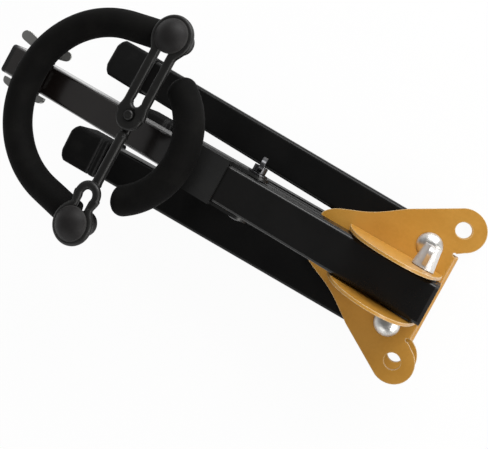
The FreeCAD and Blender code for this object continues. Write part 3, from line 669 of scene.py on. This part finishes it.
# %% Moulded shapes
def inward_rings(loop, spacing, solid_side):
    """Even points of a loop, each with the flat direction that points into the material."""
    points = even_points(loop, spacing)
    around = points[1:] + points[:1]
    area = sum(a.x * b.y - b.x * a.y for a, b in zip(points, around))
    turn = solid_side if area > 0 else -solid_side
    inward = []
    for i, point in enumerate(points):
        run = (points[(i + 1) % len(points)] - points[i - 1]).normalized()
        inward.append(Vector((-run.y, run.x)) * turn)
    return points, inward


def rim_steps(low, high, rim, lip, steps=7):
    """How far in and how high each ring lies: out along a quarter ellipse, up, and in along another."""
    turns = [math.pi / 2 * i / steps for i in range(steps + 1)]
    under = [(rim * (1 - math.cos(turn)), low + lip - lip * math.sin(turn)) for turn in reversed(turns)]
    over = [(rim * (1 - math.cos(turn)), high - lip + lip * math.sin(turn)) for turn in turns]
    return under + over


def skin_rings(shape, rings):
    """Four-sided faces between each ring and the next."""
    for low, high in zip(rings, rings[1:]):
        for i in range(len(low)):
            j = (i + 1) % len(low)
            shape.faces.new((low[i], low[j], high[j], high[i]))


def moulded(name, outline, holes, low, high, rim, lip, finish, spacing=0.45 * mm):
    """A flat piece with this outline and holes, its rim rounded over rim sideways and lip upwards."""
    shape = bmesh.new()
    tops, bottoms = [], []
    for loop, side in [(outline, 1)] + [(hole, -1) for hole in holes]:
        points, inward = inward_rings(loop, spacing, side)
        rings = []
        for step_in, height in rim_steps(low, high, rim, lip):
            rings.append([shape.verts.new((*(p + d * step_in), height)) for p, d in zip(points, inward)])
        skin_rings(shape, rings)
        bottoms.append(rings[0])
        tops.append(rings[-1])
    for loops in (tops, bottoms):
        flat = [vertex for loop in loops for vertex in loop]
        for corners in tessellate_polygon([[vertex.co for vertex in loop] for loop in loops]):
            shape.faces.new([flat[i] for i in corners])
    bmesh.ops.remove_doubles(shape, verts=shape.verts, dist=0.001 * mm)
    bmesh.ops.recalc_face_normals(shape, faces=shape.faces)
    return shown(name, shape, finish)


def shown(name, shape, finish):
    """The finished shape as an object at the origin, with its finish."""
    mesh = bpy.data.meshes.new(name)
    shape.to_mesh(mesh)
    shape.free()
    mesh.shade_smooth()
    mesh.materials.append(finish.material)
    print(name, "has", len(mesh.polygons), "faces")
    return placed(name, mesh)


def joined(name, pieces, finish):
    """Several meshes of one finish as one object."""
    shape = bmesh.new()
    for piece in pieces:
        shape.from_mesh(piece.data)
        bpy.data.objects.remove(piece)
    return shown(name, shape, finish)


print("a rim of 2 mm takes", len(rim_steps(0.0, 4 * mm, 2 * mm, 2 * mm)), "rings")

# %% [markdown]
# ### The slotted link
#
# The link's slot runs into the knob's hole, so it can be pushed on at the slot and slid home. Its
# outline narrows from the ring to the eye.

# %% Slotted link
link_rise = 0.15 * mm
link_thick = 3.4 * mm
link_low = upper_level + upper_foam_radius + link_rise
link_high = link_low + link_thick
knob_y = knob_centre.y
strap_x = knob_centre.x
eye_y = 8.3 * mm
eye_ring = 7.5 * mm
eye_hole = 2.2 * mm
ring_radius = 11.0 * mm
ring_hole = 5.5 * mm
slot_end_y = 15.5 * mm
slot_half = 2.4 * mm
link_waist = 7.2 * mm
link_outline = keyhole_outline((strap_x, knob_y), ring_radius, (strap_x, eye_y), eye_ring, link_waist)
slot_outline = keyhole_outline((strap_x, knob_y), ring_hole, (strap_x, slot_end_y), slot_half, slot_half)
eye_outline = round_outline((strap_x, eye_y), eye_hole)
strap_link = moulded("strap_link_moulded", link_outline, [slot_outline, eye_outline], link_low, link_high,
                     rim=1.5 * mm, lip=1.2 * mm, finish=strap_rubber)
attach(strap_link, "upper_yoke")
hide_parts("strap_link")

# %% [markdown]
# ### The rod with its pin and loop
#
# The rod is nearly round. A thinner tongue of it runs on under the link to the eye. There a pin
# stands up through the eye and ends in a low mushroom head with a dimple from the mould. The loop at
# the other end is a keyhole, like the link's. The pin is a turned shape, so it needs one more helper.

# %% Turned shapes and the pin
def turned(name, profile, centre, finish, steps=48):
    """A round piece turned about a standing axis: profile is radius and height pairs."""
    shape = bmesh.new()
    rings = []
    for radius, level in profile:
        if radius <= 0:
            rings.append([shape.verts.new((centre[0], centre[1], level))])
        else:
            rings.append([shape.verts.new((*point, level)) for point in round_outline(centre, radius, steps)])
    for low, high in zip(rings, rings[1:]):
        for i in range(steps):
            j = i + 1
            corners = [low[i % len(low)], low[j % len(low)], high[j % len(high)], high[i % len(high)]]
            corners = [corner for n, corner in enumerate(corners) if corner not in corners[:n]]
            shape.faces.new(corners)
    bmesh.ops.recalc_face_normals(shape, faces=shape.faces)
    return shown(name, shape, finish)


rod_low = link_low - 3.0 * mm
rod_high = rod_low + 4.2 * mm
rod_half = 2.6 * mm
rod_start_y = eye_y - 10.4 * mm
loop_y = -35.8 * mm
rod_end_y = loop_y + 5.6 * mm
pin_seat = link_low - 0.3 * mm
pin_radius = 1.9 * mm
pin_top = link_high + 1.7 * mm
pin_foot = [(0, rod_low), (3.9 * mm, rod_low), (4.2 * mm, rod_low + 0.4 * mm),
            (4.2 * mm, link_low - 0.7 * mm), (3.8 * mm, pin_seat)]
pin_stem = [(pin_radius, pin_seat), (pin_radius, link_high + 0.2 * mm)]
pin_head = [(2.5 * mm, link_high + 0.25 * mm), (2.7 * mm, link_high + 0.5 * mm),
            (2.4 * mm, link_high + 1.2 * mm), (1.5 * mm, pin_top - 0.05 * mm),
            (1.0 * mm, pin_top - 0.25 * mm), (0, pin_top - 0.4 * mm)]
print("the pin has", len(pin_foot + pin_stem + pin_head), "steps from its foot to the dimple")

# %% [markdown]
# The four parts of this half are made one by one and joined. A last look compares both halves of the
# strap with the boxes of the CAD pieces that they replace.

# %% Strap rod
bar_outline = keyhole_outline((strap_x, rod_start_y), rod_half, (strap_x, rod_end_y), rod_half, rod_half)
bar = moulded("bar", bar_outline, [], rod_low, rod_high, 2.1 * mm, 1.9 * mm, strap_rubber)
tongue_outline = keyhole_outline((strap_x, eye_y), rod_half, (strap_x, eye_y - 12 * mm), rod_half, rod_half)
tongue = moulded("tongue", tongue_outline, [], rod_low, pin_seat, 1.4 * mm, 1.2 * mm, strap_rubber)
loop_outline = keyhole_outline((strap_x, -knob_y), ring_radius, (strap_x, loop_y), 7.2 * mm, 6.4 * mm)
loop_hole = keyhole_outline((strap_x, -knob_y), ring_hole, (strap_x, loop_y), 2.7 * mm, 2.4 * mm)
loop = moulded("loop", loop_outline, [loop_hole], link_low, link_high, 2.1 * mm, 1.7 * mm, strap_rubber)
plug = turned("plug", pin_foot + pin_stem + pin_head, (strap_x, eye_y), strap_rubber)
strap_rod = joined("strap_rod_moulded", [bar, tongue, loop, plug], strap_rubber)
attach(strap_rod, "upper_yoke")
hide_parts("strap_rod")
for piece, node in ((strap_link, "strap_link"), (strap_rod, "strap_rod")):
    low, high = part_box(node)
    spots = [vertex.co for vertex in piece.data.vertices]
    spare = []
    for axis in range(3):
        below = min(spot[axis] for spot in spots) - low[axis]
        above = high[axis] - max(spot[axis] for spot in spots)
        spare.append((round(below / mm, 2), round(above / mm, 2)))
    print(piece.name, "lies inside its CAD box by, in mm:", spare)

# %% [markdown]
# ## Rubber feet
#
# A foot is a rubber cup over the end of a leg. Its toe is cut at the corners and bevelled above and
# below, a groove runs round it near the mouth, and its sole has cross ribs. All of that changes only
# along the leg, so the foot is a row of oblong rings: one table says how wide, high and low each
# ring is, and the last rings turn back into the pocket that the leg fills.

# %% Foot rings
foot_length = 27.0 * mm
foot_high = 24.0 * mm
foot_half = 11.5 * mm
foot_corner = 2.0 * mm
rib_count = 5
first_rib = 7.0 * mm
rib_pitch = 3.0 * mm
# Of the pocket and of its wider lip: half width, top, sole and corner radius.
pocket = (10.1 * mm, 21.8 * mm, 4.6 * mm, 2.2 * mm)
pocket_lip = (10.4 * mm, 22.1 * mm, 4.3 * mm, 2.2 * mm)


def toe_rings():
    """The cut and bevelled toe. Each row, in mm: along, half width, drop of top, rise of sole, corner."""
    rings = []
    for along, half, drop, rise, corner in (
            (0.0, 6.8, 3.1, 2.2, 1.6),
            (0.12, 7.3, 2.6, 1.7, 1.8),
            (0.45, 7.7, 2.1, 1.3, 2.0),
            (2.2, 9.35, 0.5, 0.25, 2.0),
            (2.7, 9.8, 0.1, 0.04, 2.0),
            (3.2, 10.25, 0.0, 0.0, 2.0),
            (4.2, 11.15, 0.0, 0.0, 2.0),
            (4.7, 11.42, 0.0, 0.0, 2.0)):
        rings.append((along * mm, half * mm, foot_high - drop * mm, rise * mm, corner * mm))
    return rings


def foot_table():
    """Distance from the tip, half width, top, sole and corner radius of each ring."""
    rings = toe_rings()
    for rib in range(rib_count):
        start = first_rib + rib_pitch * rib
        for run, rise in ((0.0, 0.0), (0.25, 0.8), (1.35, 0.8), (1.6, 0.0)):
            rings.append((start + run * mm, foot_half, foot_high, rise * mm, foot_corner))
    groove = [(22.2, 0.0), (22.5, 0.6), (23.6, 0.6), (23.9, 0.0)]
    mouth = [(26.5, 0.0), (26.9, 0.2), (27.0, 0.5)]
    for along, inset in groove + mouth:
        inset = inset * mm
        rings.append((along * mm, foot_half - inset, foot_high - inset, inset, foot_corner))
    rings.append((foot_length, *pocket_lip))
    rings.append((26.6 * mm, *pocket))
    rings.append((5.0 * mm, *pocket))
    return rings


print("a foot has", len(foot_table()), "rings over", round(foot_length / mm), "mm")

# %% [markdown]
# Each ring is an oblong with round corners. The finished foot is laid on its leg by a matrix: the rear
# leg lies straight, and the side legs are splayed by a small angle about their bolts.

# %% Rubber feet
def rubber_foot(name, node, body, place):
    """The rings of one foot, laid on its leg by this matrix and skinned."""
    shape = bmesh.new()
    steps = 6
    rings = []
    for along, half, top, sole, corner in foot_table():
        ring = []
        for i in range(4 * (steps + 1)):
            quarter, step = divmod(i, steps + 1)
            turn = math.pi / 2 * (quarter + step / steps)
            y = (half - corner) * (1 if quarter in (0, 3) else -1) + corner * math.cos(turn)
            z = (top - corner if quarter < 2 else sole + corner) + corner * math.sin(turn)
            ring.append(shape.verts.new(place @ Vector((along, y, z))))
        rings.append(ring)
    skin_rings(shape, rings)
    shape.faces.new(rings[0])
    shape.faces.new(rings[-1])
    bmesh.ops.recalc_face_normals(shape, faces=shape.faces)
    foot = shown(name, shape, foot_rubber)
    foot.data.set_sharp_from_angle(angle=math.radians(38))
    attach(foot, body)
    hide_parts(node)


pivot_x = shift - 10.7 * mm
pivot_y = 21.8 * mm
rear_tip_x = shift - 190 * mm
leg_reach = 209 * mm
splay_deg = 1.9
rubber_foot("rear_foot_moulded", "rear_foot", "base", Matrix.Translation((rear_tip_x, 0.0, 0.0)))
for side, label in ((1, "left"), (-1, "right")):
    to_pivot = Matrix.Translation((pivot_x, side * pivot_y, 0.0))
    splay = Matrix.Rotation(math.radians(-splay_deg * side), 4, "Z")
    to_tip = Matrix.Translation((-leg_reach, 0.0, 0.0))
    on_leg = to_pivot @ splay @ to_tip
    rubber_foot(label + "_foot_moulded", label + "_foot", label + "_leg_set", on_leg)

# %% [markdown]
# ## A screw thread
#
# The post's bolt ends inside its wing nut, and there a real bolt has its thread. A thread is a ridge
# that repeats along a line, so it is the second rule for Geometry Nodes: one ring is instanced along
# the bolt at the thread's pitch, and a slight tilt makes each ring climb like one turn of the helix.

# %% Thread rule
def thread_rule():
    """Instances of a thin tilted ring, one pitch apart along the path."""
    rule = Rule("thread_rule", {"Radius": 3 * mm, "Pitch": 1 * mm, "Ridge": 0.3 * mm})
    spots = rule.add("GeometryNodeResampleCurve", {"mode": "LENGTH"},
                     {"Curve": rule.given("Shape"), "Length": rule.given("Pitch")})
    spots = rule.add("GeometryNodeCurveToPoints", {"mode": "EVALUATED"}, {"Curve": spots})
    ring_path = rule.add("GeometryNodeCurvePrimitiveCircle", {}, {"Resolution": 32,
                                                                "Radius": rule.given("Radius")})
    ridge = rule.add("GeometryNodeCurvePrimitiveCircle", {}, {"Resolution": 6, "Radius": rule.given("Ridge")})
    ring = rule.add("GeometryNodeCurveToMesh", {}, {"Curve": ring_path, "Profile Curve": ridge})
    facing = rule.add("FunctionNodeInputVector", {"vector": (math.radians(87), 0.0, 0.0)})
    rings = rule.add("GeometryNodeInstanceOnPoints", {}, {"Points": spots, "Instance": ring,
                                                         "Rotation": facing})
    rule.finish_with(rings)
    return rule.tree


thread_tree = thread_rule()
print("thread rule has", len(thread_tree.nodes), "nodes")

# %% Bolt thread
bolt_x = shift - 8.5 * mm
bolt_level = 50 * mm
bolt_radius = 3.0 * mm
pitch = 1.0 * mm
ridge = 0.3 * mm
sunk = 0.16 * mm
thread_start = 20.5 * mm
thread_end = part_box("post_bolt")[1].y - 0.2 * mm
thread_path = line_object("post_bolt_thread", [Vector((bolt_x, thread_start, bolt_level)),
                                               Vector((bolt_x, thread_end, bolt_level))])
post_thread = grow("post_bolt_thread", thread_path, thread_tree, chrome, Radius=bolt_radius - sunk,
                   Pitch=pitch, Ridge=ridge)
post_thread.data.shade_smooth()
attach(post_thread, "base")

# %% [markdown]
# ## The studio
#
# The stand lies on a plain pale table. The sky is bright near the horizon and dim overhead, so a
# black tube mirrors more light on its sides than on top. To the camera the table and the sky turn
# nearly white, through Light Path. The table keeps a little of its own shading, so the stand still
# has a soft shadow, and half of its whiteness also shows in glossy surfaces, as a lit table's would.

# %% Table and sky
def pale_table():
    """A matt pale grey that is nearly white to the camera and half white in mirrors."""
    finish = Finish("pale_table")
    finish.set(Base_Color=finish.tint(finish.noise(60 * mm, 2.0), shade(0.86, 0.86, 0.86),
                                      shade(0.90, 0.90, 0.90)))
    finish.set(Roughness=0.9)
    seen = finish.add("ShaderNodeLightPath", out="Is Camera Ray")
    mirrored = finish.add("ShaderNodeLightPath", out="Is Glossy Ray")
    white = finish.add("ShaderNodeEmission", {}, {"Color": shade(1, 1, 1), "Strength": 1.0})
    share = finish.add("ShaderNodeMath", {"operation": "ADD", "use_clamp": True},
                       {0: seen * 0.95, 1: mirrored * 0.55})
    plain = Wire(finish, finish.shader.outputs[0])
    mix = finish.add("ShaderNodeMixShader", {}, {0: share, 1: plain, 2: white})
    output = next(node for node in finish.tree.nodes if node.type == "OUTPUT_MATERIAL")
    finish.tree.links.new(mix.socket, output.inputs["Surface"])
    return finish


table_shape = bmesh.new()
bmesh.ops.create_grid(table_shape, x_segments=8, y_segments=8, size=3.0)
table_mesh = bpy.data.meshes.new("table")
table_shape.to_mesh(table_mesh)
table_shape.free()
table_mesh.materials.append(pale_table().material)
table = placed("table", table_mesh)
table.location = (0.0, 0.0, -0.2 * mm)
table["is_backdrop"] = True


def pale_sky():
    """Bright at the horizon and dim overhead, like a studio with lit walls; white to the camera."""
    world = bpy.data.worlds.new("pale_sky")
    world.use_nodes = True
    sky = Shading(world.node_tree)
    direction = sky.add("ShaderNodeTexCoord", out="Generated")
    height = sky.add("ShaderNodeSeparateXYZ", {}, {0: direction}, out=2)
    glow = sky.ramp(height, 0.12, 0.72, 0.78, 0.16)
    lit = sky.add("ShaderNodeBackground", {}, {"Color": shade(1.0, 1.0, 1.0), "Strength": glow})
    white = sky.add("ShaderNodeBackground", {}, {"Color": shade(1.0, 1.0, 1.0), "Strength": 1.0})
    seen = sky.add("ShaderNodeLightPath", out="Is Camera Ray")
    mix = sky.add("ShaderNodeMixShader", {}, {0: seen, 1: lit, 2: white})
    output = sky.tree.nodes.new("ShaderNodeOutputWorld")
    sky.tree.links.new(mix.socket, output.inputs["Surface"])
    return world


bpy.context.scene.world = pale_sky()
print("table and sky set")

# %% [markdown]
# ## The lamps
#
# Three broad lamps light the stand. The strongest is on its left side, low enough to graze the tubes
# and draw the bright lines along their edges. A weaker, slightly warm one stands before the bracket
# and lights the gold. The weakest, on the right side, only opens the shadows.

# %% Lamps
def soft_lamp(name, place, target, width, depth, watts, colour=(1.0, 1.0, 1.0)):
    """An oblong lamp at a place, turned to its target."""
    data = bpy.data.lights.new(name, "AREA")
    data.shape = "RECTANGLE"
    data.size = width
    data.size_y = depth
    data.energy = watts
    data.color = colour
    lamp = placed(name, data)
    lamp.location = place
    lamp.rotation_mode = "QUATERNION"
    lamp.rotation_quaternion = (Vector(target) - Vector(place)).to_track_quat("-Z", "Y")


middle = ((cad_low + cad_high) / 2)[:]
soft_lamp("left_lamp", (0.10, 1.00, 0.66), middle, width=1.1, depth=0.55, watts=14.0)
soft_lamp("front_lamp", (1.05, -0.1, 0.72), middle, width=0.9, depth=0.55, watts=7.5,
          colour=(1.0, 0.985, 0.96))
soft_lamp("right_lamp", (-0.1, -1.05, 0.62), middle, width=0.9, depth=0.4, watts=1.6)
print("lamps set")

# %% [markdown]
# ## Sizes and finish
#
# The box of the dressed stand is measured, and how far it reaches past the box of the frame is printed. The
# two should agree, because nothing that was added reaches past the pieces that set the stand's size.

# %% Sizes and finish
view = bpy.context.scene.view_settings
view.view_transform = "Standard"
dressed_low, dressed_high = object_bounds()
grown = [round((a - b) / mm, 2) for a, b in zip(dressed_high - dressed_low, cad_high - cad_low)]
print("the dressed stand is larger than the frame by, in mm:", grown)
